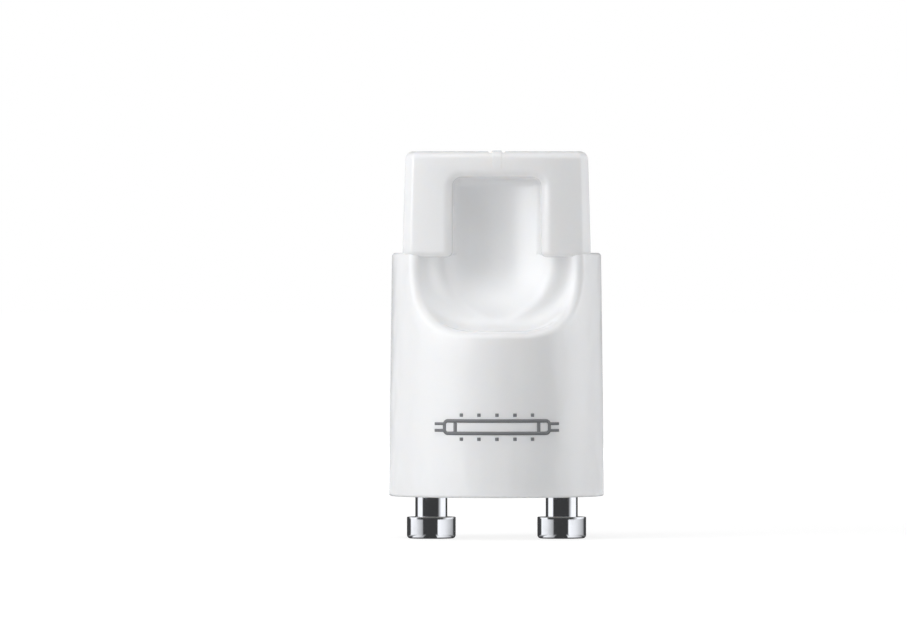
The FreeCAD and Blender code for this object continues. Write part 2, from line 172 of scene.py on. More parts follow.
# %% Node group: worked metal
def make_metal_group():
    group = bpy.data.node_groups.new("worked_metal", "ShaderNodeTree")
    face = group.interface
    face.new_socket(name="Vector", in_out="INPUT", socket_type="NodeSocketVector")
    face.new_socket(name="Stretched", in_out="INPUT", socket_type="NodeSocketVector")
    for name, value in (("Mark Depth", 0.0000006), ("Spot Scale", 700.0)):
        face.new_socket(name=name, in_out="INPUT", socket_type="NodeSocketFloat").default_value = value
    face.new_socket(name="Dullness", in_out="OUTPUT", socket_type="NodeSocketFloat")
    face.new_socket(name="Marks", in_out="OUTPUT", socket_type="NodeSocketFloat")
    face.new_socket(name="Normal", in_out="OUTPUT", socket_type="NodeSocketVector")
    come = add(group, "NodeGroupInput")
    marks = add(group, "ShaderNodeTexNoise", scale=1.0, detail=4.0, roughness=0.7)
    spots = add(group, "ShaderNodeTexNoise", detail=3.0)
    spread = add(group, "ShaderNodeMapRange", from_min=0.45, from_max=0.7)
    bump = add(group, "ShaderNodeBump", strength=0.5)
    leave = add(group, "NodeGroupOutput")
    join(group, (come, "Stretched"), (marks, "Vector"), (marks, "Fac"), (leave, "Marks"))
    join(group, (come, "Vector"), (spots, "Vector"), (come, "Spot Scale"), (spots, "Scale"))
    join(group, (spots, "Fac"), (spread, "Value"), (spread, "Result"), (leave, "Dullness"))
    join(group, (marks, "Fac"), (bump, "Height"), (come, "Mark Depth"), (bump, "Distance"))
    join(group, (bump, "Normal"), (leave, "Normal"))
    arrange(group)
    return group


worked = make_metal_group()
print("group", worked.name, "with", len(worked.nodes), "nodes")

# %% [markdown]
# ## Finishes in plastic
#
# The can is a white thermoplastic with a soft sheen. Light goes a little way into it, which a small amount of
# subsurface scattering gives: edges and lips look soft instead of chalky. The base plate is a duller, greyer
# moulding, the sleeves a thin cream tube, and the capacitor is dipped in an amber resin that sags slightly. One
# maker covers the four, since they differ only in numbers: two colours that the tone mask mixes, the roughness
# between two limits, and the size of the grain. The white has no streaks in its colour, because any would read as
# dirt. Only its sheen varies slowly.


# %% Maker for moulded finishes
def moulded_finish(name, dark, light, rough, grain, flow, streaks=0.5, soft=0.0, reach=0.0005, coat=0.0):
    """A plastic between two colours and two roughnesses.

    grain is the scale and the depth of the fine grain, flow the scale of the slow streaks. soft says how much of the
    light goes into the plastic, and reach how far it gets there.
    """
    material, tree = new_material(name)
    shader = tree.nodes["Principled BSDF"]
    place = add(tree, "ShaderNodeTexCoord")
    surface = add(tree, "ShaderNodeGroup", node_tree=moulded)
    put(surface, grain_scale=grain[0], grain_depth=grain[1], flow_scale=flow, streaks=streaks)
    colour = add(tree, "ShaderNodeMix", data_type="RGBA", a=(*dark, 1), b=(*light, 1))
    gloss = add(tree, "ShaderNodeMapRange", to_min=rough[0], to_max=rough[1])
    join(tree, (place, "Object"), (surface, "Vector"), (surface, "Tone"), (colour, "Factor"))
    join(tree, (surface, "Sheen"), (gloss, "Value"), (gloss, "Result"), (shader, "Roughness"))
    join(tree, (surface, "Normal"), (shader, "Normal"), (colour, "Result"), (shader, "Base Color"))
    put(shader, subsurface_weight=soft, subsurface_scale=reach, subsurface_radius=(1.0, 0.9, 0.8))
    put(shader, coat_weight=coat, coat_roughness=0.12)
    arrange(tree)
    return material


# %% The four moulded finishes
white_moulding = moulded_finish(
    "white_moulding", dark=(0.885, 0.89, 0.898), light=(0.905, 0.908, 0.915), rough=(0.22, 0.27),
    grain=(5200, 0.000003), flow=90, streaks=0.0, soft=0.45, reach=0.0013,
)
plate_moulding = moulded_finish(
    "plate_moulding", dark=(0.60, 0.59, 0.56), light=(0.68, 0.67, 0.64), rough=(0.5, 0.62),
    grain=(3600, 0.000008), flow=140, soft=0.08, reach=0.0004,
)
cream_tube = moulded_finish(
    "cream_tube", dark=(0.60, 0.56, 0.46), light=(0.70, 0.66, 0.56), rough=(0.45, 0.6),
    grain=(9000, 0.000004), flow=900, streaks=0.3, soft=0.15, reach=0.0003,
)
amber_resin = moulded_finish(
    "amber_resin", dark=(0.42, 0.17, 0.02), light=(0.62, 0.29, 0.04), rough=(0.16, 0.34),
    grain=(1500, 0.00001), flow=260, streaks=0.8, soft=0.25, coat=0.6,
)
plastics = (white_moulding, plate_moulding, cream_tube, amber_resin)
print("moulded finishes:", ", ".join(plastic.name for plastic in plastics))

# %% [markdown]
# ## Finishes in metal
#
# The pins are brass under bright nickel, so they mirror what stands round them: this is why they look black and
# white in a picture, not grey. The tree is the same for all the metals. Where a piece has a UV map, as the turned
# pins do, the marks follow its profile and become rings; elsewhere they follow the object's own coordinates. The
# marks are fine enough to blur a reflection a little without breaking it.


# %% Maker for metal finishes
def metal_finish(name, colour, worn, rough, stretch, depth, spots, rings=False):
    """A metal between two colours and two roughnesses, polished and worn.

    stretch is the scale of the marks along three axes, depth how deep they are, and spots the scale of the dull
    spots. With rings, the marks follow the piece's own UV map.
    """
    material, tree = new_material(name)
    shader = put(tree.nodes["Principled BSDF"], metallic=1.0)
    place = add(tree, "ShaderNodeTexCoord")
    pull = add(tree, "ShaderNodeMapping", scale=stretch)
    surface = add(tree, "ShaderNodeGroup", node_tree=worked)
    put(surface, mark_depth=depth, spot_scale=spots)
    tint = add(tree, "ShaderNodeMix", data_type="RGBA", a=(*colour, 1), b=(*worn, 1))
    gloss = add(tree, "ShaderNodeMapRange", to_min=rough[0], to_max=rough[1])
    join(tree, (place, "UV" if rings else "Object"), (pull, "Vector"))
    join(tree, (pull, "Vector"), (surface, "Stretched"), (place, "Object"), (surface, "Vector"))
    join(tree, (surface, "Dullness"), (tint, "Factor"), (surface, "Dullness"), (gloss, "Value"))
    join(tree, (tint, "Result"), (shader, "Base Color"), (gloss, "Result"), (shader, "Roughness"))
    join(tree, (surface, "Normal"), (shader, "Normal"))
    arrange(tree)
    return material


# %% The metal finishes
bright_nickel = metal_finish(
    "bright_nickel", colour=(0.83, 0.84, 0.86), worn=(0.76, 0.77, 0.78), rough=(0.07, 0.13),
    stretch=(2, 26, 1), depth=0.0000004, spots=500, rings=True,
)
drawn_wire = metal_finish(
    "drawn_wire", colour=(0.60, 0.57, 0.53), worn=(0.48, 0.45, 0.41), rough=(0.24, 0.36),
    stretch=(9000, 9000, 300), depth=0.0000008, spots=900,
)
rolled_strip = metal_finish(
    "rolled_strip", colour=(0.55, 0.53, 0.50), worn=(0.50, 0.42, 0.34), rough=(0.28, 0.4),
    stretch=(9000, 9000, 250), depth=0.0000008, spots=1200,
)
tinned_copper = metal_finish(
    "tinned_copper", colour=(0.74, 0.74, 0.73), worn=(0.62, 0.60, 0.57), rough=(0.2, 0.34),
    stretch=(7000, 7000, 400), depth=0.0000008, spots=1100,
)
soft_solder = metal_finish(
    "soft_solder", colour=(0.72, 0.72, 0.72), worn=(0.58, 0.58, 0.59), rough=(0.14, 0.3),
    stretch=(2600, 2600, 2600), depth=0.000004, spots=1500,
)
metals = (bright_nickel, drawn_wire, rolled_strip, tinned_copper, soft_solder)
print("metal finishes:", ", ".join(metal.name for metal in metals))

# %% [markdown]
# ## Glass and ink
#
# The glow lamp's envelope is thin clear glass with the faint waves of a drawn tube. It is the only transparent
# piece, so it gets a tree of its own: full transmission, and a normal from a slow noise. The sign on the can is pad
# printed, a matt grey ink a few hundredths of a millimetre thick, slightly uneven where the pad lifted.


# %% Glass and ink
def make_glass():
    material, tree = new_material("drawn_glass")
    shader = put(tree.nodes["Principled BSDF"], base_color=(0.97, 0.985, 0.98, 1), transmission_weight=1.0)
    shader.inputs["IOR"].default_value = 1.5
    place = add(tree, "ShaderNodeTexCoord")
    pull = add(tree, "ShaderNodeMapping", scale=(420, 420, 60))
    waves = add(tree, "ShaderNodeTexNoise", scale=1.0, detail=2.0)
    bump = add(tree, "ShaderNodeBump", strength=0.2, distance=0.00001)
    haze = add(tree, "ShaderNodeMapRange", to_min=0.01, to_max=0.05)
    join(tree, (place, "Object"), (pull, "Vector"), (pull, "Vector"), (waves, "Vector"))
    join(tree, (waves, "Fac"), (bump, "Height"), (bump, "Normal"), (shader, "Normal"))
    join(tree, (waves, "Fac"), (haze, "Value"), (haze, "Result"), (shader, "Roughness"))
    arrange(tree)
    return material


drawn_glass = make_glass()
grey_ink = moulded_finish(
    "grey_ink", dark=(0.135, 0.14, 0.145), light=(0.165, 0.17, 0.175), rough=(0.5, 0.6),
    grain=(7000, 0.000003), flow=1500,
)
print("also:", drawn_glass.name, grey_ink.name)

# %% [markdown]
# ## Smooth skins on the CAD pieces
#
# A CAD piece arrives as loose triangles, each with its own corners, so every facet would shade flat. Moulded plastic
# has no facets. The piece itself may not be changed. The piece itself is left as it is and hidden: it is copied, the
# copy's corners are merged, and the whole is shaded smooth except along true edges. A weighted normal modifier then
# lets the big faces win over the thin strips of the roundings beside them; without it a flat face looks pillowy along
# its border. Its threshold has to be zero here, because the faces of so small an object, in square metres, all fall
# below the usual one.


# %% Helpers: smooth shading with the big faces first
def finish_mesh(piece):
    """Turns a piece with live modifiers into the plain mesh that they give."""
    graph = bpy.context.evaluated_depsgraph_get()
    made = bpy.data.meshes.new_from_object(piece.evaluated_get(graph), depsgraph=graph)
    piece.modifiers.clear()
    piece.data = made


def smooth_over(piece, angle):
    """Shades a piece smooth except where two faces meet at more than this angle."""
    piece.data.shade_smooth()
    piece.data.set_sharp_from_angle(angle=math.radians(angle))
    weigh = piece.modifiers.new("big faces first", "WEIGHTED_NORMAL")
    weigh.keep_sharp = True
    weigh.mode = "FACE_AREA"
    weigh.weight = 80
    weigh.thresh = 0.0
    finish_mesh(piece)


# %% Helper: a smooth skin over a CAD piece
weld_gap = 0.0004 * MM
sliver = 0.0002 * MM


def skin(node, name, material, angle=32):
    """A copy of a CAD piece with its corners merged, shaded smooth and dressed in a material."""
    piece = bpy.data.objects.new(name, parts[node].data.copy())
    bpy.context.scene.collection.objects.link(piece)
    mesh = piece.data
    mesh.name = name
    mesh.materials.clear()
    mesh.materials.append(material)
    work = bmesh.new()
    work.from_mesh(mesh)
    bmesh.ops.remove_doubles(work, verts=work.verts, dist=weld_gap)
    bmesh.ops.dissolve_degenerate(work, edges=work.edges, dist=sliver)
    work.to_mesh(mesh)
    work.free()
    if "custom_normal" in mesh.attributes:
        mesh.attributes.remove(mesh.attributes["custom_normal"])
    smooth_over(piece, angle)
    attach(piece, "root")
    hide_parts(node)
    print("%-22s over %-20s %6d faces" % (name, node, len(piece.data.polygons)))


# %% [markdown]
# ## The can
#
# The can is the piece that everyone sees: a tapered thimble with two bowed grip faces, a thumb groove let into each,
# and a thin rib over the top. Its shape is exact in the CAD model, so it only needs its skin.

# %% The can
skin("housing", "white_can", white_moulding)

# %% [markdown]
# ## The base plate and the works inside
#
# The plate closes the can's mouth and carries the pins. Above it stand the glow lamp, with its fixed electrode and
# its bimetal strip, and the capacitor, with leads that run down into the pins. All of these hide inside the can, but
# a part that will be opened or cut in half deserves real finishes there too, so each gets a skin and a material.

# %% The base plate and the works
works = (
    ("base_plate", "mouth_plate", plate_moulding, "base_plastic"),
    ("glow_lamp_glass", "lamp_envelope", drawn_glass, "lamp_glass"),
    ("fixed_electrode", "straight_electrode", drawn_wire, "electrode_wire"),
    ("bimetal_post", "strip_post", drawn_wire, "electrode_wire"),
    ("bimetal_strip", "curled_strip", rolled_strip, "bimetal"),
    ("lead_sleeve_left", "sleeve_left", cream_tube, "sleeving"),
    ("lead_sleeve_right", "sleeve_right", cream_tube, "sleeving"),
    ("capacitor", "dipped_capacitor", amber_resin, "capacitor_case"),
    ("capacitor_lead_left", "tinned_lead_left", tinned_copper, "tinned_wire"),
    ("capacitor_lead_right", "tinned_lead_right", tinned_copper, "tinned_wire"),
    ("solder_left", "solder_bead_left", soft_solder, "solder"),
    ("solder_right", "solder_bead_right", soft_solder, "solder"),
)
for node, name, material, slot in works:
    skin(node, name, material)

# %% [markdown]
# ## The contact pins
#
# A contact pin is turned: a headed stem that locks in the holder's keyhole, a thinner shank through the plate, and a
# hollow end that is riveted over. A lathe is easy to write: a profile of radius and height is swept round its axis.
# The corners of the profile are rounded first, because a mirror-bright edge only shows where light can roll round
# it. The sweep also lays down a UV map, round and along the profile, so that the turning marks become rings.


# %% Helper: round the corners of a profile
def rolled(corners, steps=7):
    """Points along a profile of (radius, height, rounding) corners, with an arc in place of each rounded one."""
    points = []
    for count, (r, z, size) in enumerate(corners):
        here = Vector((r, z))
        if size == 0 or count in (0, len(corners) - 1):
            points.append(here)
            continue
        before = (Vector(corners[count - 1][:2]) - here).normalized()
        after = (Vector(corners[count + 1][:2]) - here).normalized()
        half = before.angle(after) / 2
        reach = size / math.tan(half)
        centre = here + (before + after).normalized() * (size / math.sin(half))
        first = here + before * reach - centre
        last = here + after * reach - centre
        turn = first.angle_signed(last)
        for step in range(steps + 1):
            angle = -turn * step / steps
            points.append(centre + Vector((
                first.x * math.cos(angle) - first.y * math.sin(angle),
                first.x * math.sin(angle) + first.y * math.cos(angle),
            )))
    return points


# %% Helper: sweep a profile round an axis
def turned(name, profile, x, y, material, around=96):
    """The piece that a profile of points (radius, height) makes round the upright axis through (x, y)."""
    work = bmesh.new()
    chart = work.loops.layers.uv.new("profile")
    lengths = [0.0]
    for a, b in zip(profile, profile[1:]):
        lengths.append(lengths[-1] + (b - a).length)
    rows = []
    for r, z in profile:
        if r == 0:
            rows.append([work.verts.new((x, y, z))] * around)
            continue
        ring = [2 * math.pi * step / around for step in range(around)]
        rows.append([work.verts.new((x + r * math.cos(t), y + r * math.sin(t), z)) for t in ring])
    for low in range(len(profile) - 1):
        for step in range(around):
            after = (step + 1) % around
            loop = [(low, step, step), (low, after, step + 1), (low + 1, after, step + 1), (low + 1, step, step)]
            found = []
            for row, column, turn in loop:
                vert = rows[row][column]
                if all(vert is not other[0] for other in found):
                    found.append((vert, turn / around, lengths[row] / MM))
            face = work.faces.new([item[0] for item in found])
            face.smooth = True
            for corner, (vert, u, v) in zip(face.loops, found):
                corner[chart].uv = (u, v)
    bmesh.ops.recalc_face_normals(work, faces=work.faces)
    mesh = bpy.data.meshes.new(name)
    work.to_mesh(mesh)
    work.free()
    mesh.materials.append(material)
    piece = bpy.data.objects.new(name, mesh)
    bpy.context.scene.collection.objects.link(piece)
    smooth_over(piece, angle=40)
    return piece


# %% The two pins
pin_profile = rolled([
    (0, 0, 0),
    (head_r, 0, 0.34 * MM),
    (head_r, head_height, 0.07 * MM),
    (stem_r, head_height, 0.06 * MM),
    (stem_r, plate_low, 0),
    (shank_r, plate_low, 0),
    (shank_r, plate_high, 0),
    (rivet_r, plate_high, 0),
    (rivet_r, rivet_top, 0.5 * MM),
    (bore_r, rivet_top, 0.08 * MM),
    (bore_r, bore_floor, 0),
    (0, bore_floor, 0),
])
for side, node, name in ((-1, "contact_pin_left", "turned_pin_left"), (1, "contact_pin_right", "turned_pin_right")):
    pin = turned(name, pin_profile, side * pin_x, 0, bright_nickel)
    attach(pin, "root")
    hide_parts(node)
    pin.visible_glossy = False
    print(pin.name, len(pin.data.polygons), "faces")

# %% [markdown]
# ## The printed sign
#
# The can carries one small grey print below the scoop. This part bears no name, so the print is a plain sign for a
# tube lamp: a capsule with two end caps, contact pins, and short rays above and below. It is drawn flat with
# Geometry Nodes, as strokes swept along lines, and then a Set Position node bends the flat drawing round the cone.
# A texture could do it, but strokes that follow the surface keep crisp edges at any distance, and the rays are one
# stroke repeated along a line, which is what instances are for.


# %% Helpers for the sign's tree
def feed(tree, value, entry):
    """Gives an input its value, which is another node's output or a plain number."""
    if isinstance(value, (int, float)):
        entry.default_value = value
    else:
        tree.links.new(value, entry)


def number(tree, operation, *values):
    """One step of arithmetic on outputs or plain numbers."""
    node = add(tree, "ShaderNodeMath", operation=operation)
    for value, entry in zip(values, node.inputs):
        feed(tree, value, entry)
    return node.outputs[0]


def point(tree, x, y=0.0, z=0.0):
    """A place, from outputs or plain numbers."""
    node = add(tree, "ShaderNodeCombineXYZ")
    for value, entry in zip((x, y, z), node.inputs):
        feed(tree, value, entry)
    return node.outputs[0]


def straight(tree, start, end):
    """A straight line between two places."""
    node = add(tree, "GeometryNodeCurvePrimitiveLine")
    tree.links.new(start, node.inputs["Start"])
    tree.links.new(end, node.inputs["End"])
    return node.outputs["Curve"]


def stroke(tree, curve, ink_width, ink_depth, capped=True):
    """Sweeps a flat stroke of ink along a curve, in steps short enough to bend round the can."""
    section = add(tree, "GeometryNodeCurvePrimitiveQuadrilateral")
    tree.links.new(ink_width, section.inputs["Width"])
    tree.links.new(ink_depth, section.inputs["Height"])
    fine = add(tree, "GeometryNodeResampleCurve", mode="LENGTH", length=0.12 * MM)
    sweep = add(tree, "GeometryNodeCurveToMesh", fill_caps=capped)
    tree.links.new(curve, fine.inputs["Curve"])
    join(tree, (fine, "Curve"), (sweep, "Curve"), (section, "Curve"), (sweep, "Profile Curve"))
    return sweep.outputs["Mesh"]


# %% The sign's sizes
sign_sizes = (
    ("Tube Length", 10.6 * MM),
    ("Tube Height", 1.2 * MM),
    ("Stroke", 0.3 * MM),
    ("Ink Depth", 0.03 * MM),
    ("Pin Length", 1.1 * MM),
    ("Ray Gap", 1.0 * MM),
    ("Ray Length", 0.32 * MM),
    ("Ray Spacing", 1.75 * MM),
    ("Height On Can", sign_z),
    ("Rim Radius", rim_r),
    ("Rim Height", rim_z),
    ("Side Slope", side_slope),
)
corner_share = 0.3  # the rounding of the tube's corners, in tube heights
pin_share = 0.27  # from the middle line to a pin, in tube heights
pin_thin = 0.8  # a pin's width, in strokes
cap_inset = 3.4  # from the tube's end to the line of its cap, in strokes
ray_count = 5
print("the sign's tree has", len(sign_sizes), "named sizes")


# %% The tube of the sign
def draw_tube(tree, size):
    """The tube's outline, and at each end the line of its cap and two pins."""
    half_length = number(tree, "MULTIPLY", size["Tube Length"], 0.5)
    half_height = number(tree, "MULTIPLY", size["Tube Height"], 0.5)
    tube = add(tree, "GeometryNodeCurvePrimitiveQuadrilateral")
    tree.links.new(size["Tube Length"], tube.inputs["Width"])
    tree.links.new(size["Tube Height"], tube.inputs["Height"])
    soften = add(tree, "GeometryNodeFilletCurve", mode="POLY", count=8)
    join(tree, (tube, "Curve"), (soften, "Curve"))
    tree.links.new(number(tree, "MULTIPLY", size["Tube Height"], corner_share), soften.inputs["Radius"])
    strokes = [stroke(tree, soften.outputs["Curve"], size["Stroke"], size["Ink Depth"], capped=False)]

    pin_up = number(tree, "MULTIPLY", size["Tube Height"], pin_share)
    pin_end = number(tree, "ADD", half_length, size["Pin Length"])
    pin_width = number(tree, "MULTIPLY", size["Stroke"], pin_thin)
    cap_in = number(tree, "SUBTRACT", half_length, number(tree, "MULTIPLY", size["Stroke"], cap_inset))
    for side in (-1.0, 1.0):
        cap_x = number(tree, "MULTIPLY", cap_in, side)
        low = point(tree, cap_x, number(tree, "MULTIPLY", half_height, -1.0))
        high = point(tree, cap_x, half_height)
        strokes.append(stroke(tree, straight(tree, low, high), size["Stroke"], size["Ink Depth"]))
        for up in (-1.0, 1.0):
            y = number(tree, "MULTIPLY", pin_up, up)
            start = point(tree, number(tree, "MULTIPLY", half_length, side), y)
            end = point(tree, number(tree, "MULTIPLY", pin_end, side), y)
            strokes.append(stroke(tree, straight(tree, start, end), pin_width, size["Ink Depth"]))
    return strokes


# %% The rays of the sign
def draw_rays(tree, size):
    """A row of short rays below the tube and one above it, all copies of one stroke."""
    line = straight(tree, point(tree, 0.0), point(tree, 0.0, size["Ray Length"]))
    ray = stroke(tree, line, size["Stroke"], size["Ink Depth"])
    first = number(tree, "MULTIPLY", size["Ray Spacing"], -(ray_count - 1) / 2)
    rows = []
    for up in (-1.0, 1.0):
        row = add(tree, "GeometryNodeMeshLine", count_mode="TOTAL", count=ray_count)
        start = point(tree, first, number(tree, "MULTIPLY", size["Ray Gap"], up))
        tree.links.new(start, row.inputs["Start Location"])
        tree.links.new(point(tree, size["Ray Spacing"]), row.inputs["Offset"])
        copies = add(tree, "GeometryNodeInstanceOnPoints", rotation=(0, 0, 0 if up > 0 else math.pi))
        join(tree, (row, "Mesh"), (copies, "Points"))
        tree.links.new(ray, copies.inputs["Instance"])
        rows.append(copies.outputs["Instances"])
    return rows


# %% The bend round the can
def wrap_round_can(tree, size, flat):
    """Bends the flat drawing round the cone of the can's side: x runs round it, y up it, and z out of it."""
    wrap = add(tree, "GeometryNodeSetPosition")
    place = add(tree, "GeometryNodeInputPosition")
    split = add(tree, "ShaderNodeSeparateXYZ")
    join(tree, (flat, "Geometry"), (wrap, "Geometry"), (place, "Position"), (split, "Vector"))
    x, y, z = split.outputs
    height = number(tree, "ADD", y, size["Height On Can"])
    above = number(tree, "SUBTRACT", height, size["Rim Height"])
    radius = number(tree, "SUBTRACT", size["Rim Radius"], number(tree, "MULTIPLY", above, size["Side Slope"]))
    turn = number(tree, "DIVIDE", x, radius)
    out = number(tree, "ADD", radius, z)
    across = number(tree, "MULTIPLY", out, number(tree, "SINE", turn))
    depth = number(tree, "MULTIPLY", number(tree, "MULTIPLY", out, number(tree, "COSINE", turn)), -1.0)
    tree.links.new(point(tree, across, depth, height), wrap.inputs["Position"])
    return wrap


# %% The sign's tree
def make_sign_tree():
    tree = bpy.data.node_groups.new("printed_tube_sign", "GeometryNodeTree")
    face = tree.interface
    face.new_socket(name="Geometry", in_out="INPUT", socket_type="NodeSocketGeometry")
    for name, value in sign_sizes:
        face.new_socket(name=name, in_out="INPUT", socket_type="NodeSocketFloat").default_value = value
    face.new_socket(name="Ink", in_out="INPUT", socket_type="NodeSocketMaterial")
    face.new_socket(name="Geometry", in_out="OUTPUT", socket_type="NodeSocketGeometry")
    come = add(tree, "NodeGroupInput")
    gather = add(tree, "GeometryNodeJoinGeometry")
    for drawn in draw_tube(tree, come.outputs) + draw_rays(tree, come.outputs):
        tree.links.new(drawn, gather.inputs["Geometry"])
    whole = add(tree, "GeometryNodeRealizeInstances")
    join(tree, (gather, "Geometry"), (whole, "Geometry"))
    wrap = wrap_round_can(tree, come.outputs, whole)
    ink = add(tree, "GeometryNodeSetMaterial")
    leave = add(tree, "NodeGroupOutput")
    join(tree, (wrap, "Geometry"), (ink, "Geometry"), (come, "Ink"), (ink, "Material"))
    join(tree, (ink, "Geometry"), (leave, "Geometry"))
    arrange(tree)
    return tree


sign_tree = make_sign_tree()
print("tree", sign_tree.name, "with", len(sign_tree.nodes), "nodes")

# %% The printed sign
sign = bpy.data.objects.new("printed_sign", bpy.data.meshes.new("printed_sign"))
bpy.context.scene.collection.objects.link(sign)
draw = sign.modifiers.new("draw the sign", "NODES")
draw.node_group = sign_tree
entries = {item.name: item.identifier for item in sign_tree.interface.items_tree if item.in_out == "INPUT"}
draw[entries["Stroke"]] = 0.34 * MM
draw[entries["Ink"]] = grey_ink
finish_mesh(sign)
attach(sign, "root")
sign_middle = [sum(corner[axis] for corner in sign.bound_box) / 8 / MM for axis in range(3)]
print("printed_sign", len(sign.data.polygons), "faces, centred at", [round(value, 2) for value in sign_middle])

# %% [markdown]
# ## The studio
#
# A white object on white is drawn by what is dark round it. Soft panels light it from the left and from above, and
# weaker ones from the front, the right and the back. Reflections see none of them. They see painted reflections
# instead, glowing cards like the boards that stand round a bright metal part in a studio: a wide wall of grey tones
# round the can, and a small one round each pin that paints the dark bands into the nickel.
#
# The floor and the world are white to the camera, except for a painted shade that dims the floor's glow a little
# round the object, but they light the object only softly, so that the white can doesn't clip. The Light Path node
# tells the two apart: what the eye meets, straight, in a mirror or through glass, and what only carries light.


# %% The world
def seen_by_eye(tree):
    """A mask for the rays that show something, straight, in a mirror or through glass."""
    ray = add(tree, "ShaderNodeLightPath")
    either = add(tree, "ShaderNodeMath", operation="MAXIMUM")
    any_of = add(tree, "ShaderNodeMath", operation="MAXIMUM")
    join(tree, (ray, "Is Camera Ray"), (either, 0), (ray, "Is Glossy Ray"), (either, 1))
    join(tree, (either, 0), (any_of, 0), (ray, "Is Transmission Ray"), (any_of, 1))
    return any_of


def make_world():
    world = bpy.data.worlds.new("white_room")
    bpy.context.scene.world = world
    world.use_nodes = True
    tree = world.node_tree
    tree.nodes.clear()
    seen = add(tree, "ShaderNodeBackground", color=(1, 1, 1, 1), strength=1.0)
    lit = add(tree, "ShaderNodeBackground", color=(0.97, 0.98, 1.0, 1), strength=0.02)
    mask = seen_by_eye(tree)
    mix = add(tree, "ShaderNodeMixShader")
    leave = add(tree, "ShaderNodeOutputWorld")
    join(tree, (mask, 0), (mix, 0), (lit, 0), (mix, 1), (seen, 0), (mix, 2), (mix, 0), (leave, 0))
    arrange(tree)
    return world


print("world:", make_world().name)


# %% The floor's finish
def make_floor_finish():
    """White paper with a painted shade, a glow a little dimmer round the object, and for the light a grey card that
    glows.
    """
    material, tree = new_material("white_floor")
    tree.nodes.clear()
    place = add(tree, "ShaderNodeTexCoord")
    mottle = add(tree, "ShaderNodeTexNoise", scale=40.0, detail=4.0)
    tone = add(tree, "ShaderNodeMapRange", to_min=0.30, to_max=0.31)
    paper = add(tree, "ShaderNodeBsdfDiffuse")
    away = add(tree, "ShaderNodeVectorMath", operation="LENGTH")
    # painted shade: the floor's glow is held at 0.8 within 6 cm of the object and rises to full by 30 cm
    painted_shade_rise = add(tree, "ShaderNodeMapRange", from_min=0.06, from_max=0.3, to_min=0.8, to_max=1.0)
    glow = add(tree, "ShaderNodeEmission")
    seen = add(tree, "ShaderNodeAddShader")
    card = add(tree, "ShaderNodeBsdfDiffuse", color=(0.3, 0.3, 0.3, 1))
    lift = add(tree, "ShaderNodeEmission", strength=0.38)
    lit = add(tree, "ShaderNodeAddShader")
    mask = seen_by_eye(tree)
    mix = add(tree, "ShaderNodeMixShader")
    leave = add(tree, "ShaderNodeOutputMaterial")
    join(tree, (place, "Object"), (mottle, "Vector"), (mottle, "Fac"), (tone, "Value"))
    join(tree, (place, "Object"), (away, 0), (away, "Value"), (painted_shade_rise, "Value"))
    join(tree, (tone, "Result"), (paper, "Color"), (painted_shade_rise, "Result"), (glow, "Strength"))
    join(tree, (paper, 0), (seen, 0), (glow, 0), (seen, 1), (card, 0), (lit, 0), (lift, 0), (lit, 1))
    join(tree, (mask, 0), (mix, 0), (lit, 0), (mix, 1), (seen, 0), (mix, 2), (mix, 0), (leave, "Surface"))
    arrange(tree)
    return material


# %% The floor
floor_half = 3.0
floor_corners = [(x * floor_half, y * floor_half, 0) for x, y in ((-1, -1), (1, -1), (1, 1), (-1, 1))]
floor_mesh = bpy.data.meshes.new("floor")
floor_mesh.from_pydata(floor_corners, [], [(0, 1, 2, 3)])
floor_mesh.materials.append(make_floor_finish())
floor = bpy.data.objects.new("floor", floor_mesh)
bpy.context.scene.collection.objects.link(floor)
floor.visible_glossy = False
print("floor:", 2 * floor_half, "m square")

# %% [markdown]
# ## The lamps
#
# A soft lamp is an area light, a glowing rectangle that faces the object. Its power is worked out from how bright
# its face is and how large, so a panel can be made wider or taller and its face looks as bright as before. Most of
# them are alike and only stand elsewhere: a row of tall narrow panels round the object, brightest on the left.


# %% Helpers: a place round the object, and a lamp there
aim_z = 0.02


def compass(azimuth, distance, height):
    """A point round the object: 0 degrees is the front, positive turns to the right."""
    turn = math.radians(azimuth)
    return Vector((distance * math.sin(turn), -distance * math.cos(turn), height))


def aimed_at(place, target):
    """The rotation with which a lamp or a camera at this place looks at the target."""
    return (Vector(target) - place).to_track_quat("-Z", "Y").to_euler()


def panel(name, azimuth, distance, height, wide, tall, radiance):
    """A soft lamp that reflections don't see, because the cards' painted reflections stand for it there."""
    lamp = bpy.data.lights.new(name, "AREA")
    lamp.shape = "RECTANGLE"
    lamp.size = wide
    lamp.size_y = tall
    lamp.energy = radiance * math.pi * wide * tall
    holder = bpy.data.objects.new(name, lamp)
    bpy.context.scene.collection.objects.link(holder)
    holder.location = compass(azimuth, distance, height)
    holder.rotation_euler = aimed_at(holder.location, (0, 0, aim_z))
    holder.visible_camera = False
    holder.visible_glossy = False


# %% The lamps
tall_panel = (0.45, 0.16, 0.157, 0.3)
# name, azimuth, then distance, height, width and length of the panel, and how bright its face is
lamps = (
    ("key_panel", -60, *tall_panel, 3.7),
    ("near_key_panel", -40, *tall_panel, 1.9),
    ("front_panel", 0, *tall_panel, 1.0),
    ("right_panel", 60, *tall_panel, 1.3),
    ("right_back_panel", 105, *tall_panel, 2.7),
    ("left_back_panel", -110, *tall_panel, 2.5),
    ("back_panel", 180, 0.45, 0.06, 0.3, 0.1, 6.0),
    ("high_left_panel", -30, 0.2, 0.5, 0.3, 0.3, 4.1),
    ("high_right_panel", 60, 0.4, 0.45, 0.3, 0.3, 1.0),
)
for lamp in lamps:
    panel(*lamp)
print("lamps:", ", ".join(lamp[0] for lamp in lamps))
